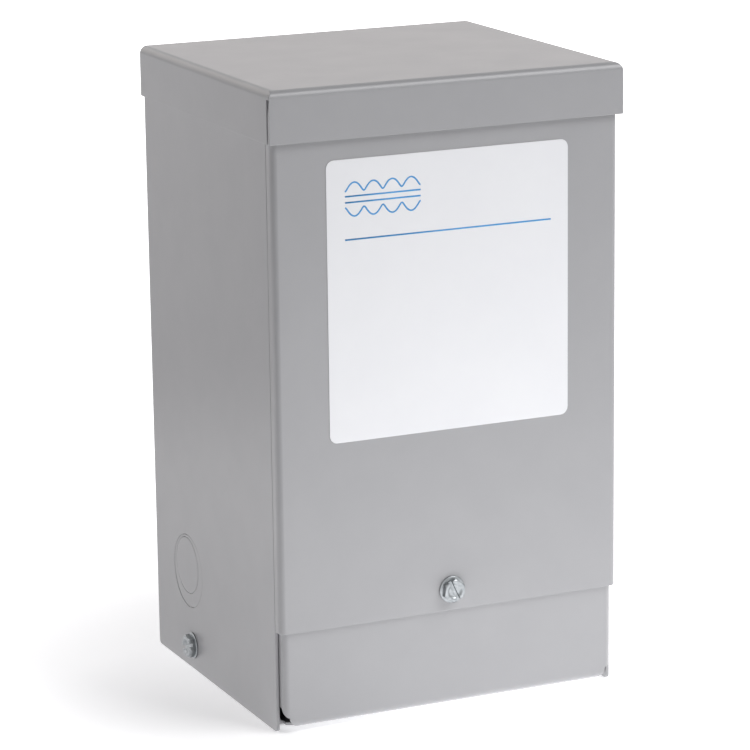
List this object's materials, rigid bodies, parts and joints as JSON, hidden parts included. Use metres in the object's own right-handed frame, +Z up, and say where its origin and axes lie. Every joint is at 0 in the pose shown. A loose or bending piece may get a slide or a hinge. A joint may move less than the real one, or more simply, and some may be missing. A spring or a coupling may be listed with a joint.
{
  "type": "encapsulated dry-type transformer",
  "caption": "Small wall-mount dry-type transformer: potted core in a grey folded-steel case with a lipped cap, screwed front cover, bottom pan, conduit knockouts and rear rails.",
  "frame": {"origin": "on the ground, in the middle of the part's outline", "axes": "+Z up; the front faces -Y, the wall rails face +Y, +X is to the right of someone facing the front"},
  "size_m": [0.1432, 0.1322, 0.237],
  "materials": {
    "grey_paint": "light grey enamel, satin",
    "zinc_steel": "zinc plated",
    "white_label": "white film, satin",
    "potted_iron": "dark potting resin, matt"
  },
  "bodies": {
    "root": {"left_side_panel": "grey_paint", "right_side_panel": "grey_paint", "back_panel": "grey_paint", "top_cap": "grey_paint", "front_cover": "grey_paint", "bottom_pan": "grey_paint", "upper_mounting_rail": "grey_paint", "lower_mounting_rail": "grey_paint", "left_knockout_ring": "grey_paint", "left_knockout_slug": "grey_paint", "right_knockout_ring": "grey_paint", "right_knockout_slug": "grey_paint", "floor_left_knockout_ring": "grey_paint", "floor_left_knockout_slug": "grey_paint", "floor_right_knockout_ring": "grey_paint", "floor_right_knockout_slug": "grey_paint", "front_cover_screw": "zinc_steel", "left_pan_screw": "zinc_steel", "right_pan_screw": "zinc_steel", "rating_label": "white_label", "potted_core": "potted_iron"}
  },
  "joints": []
}
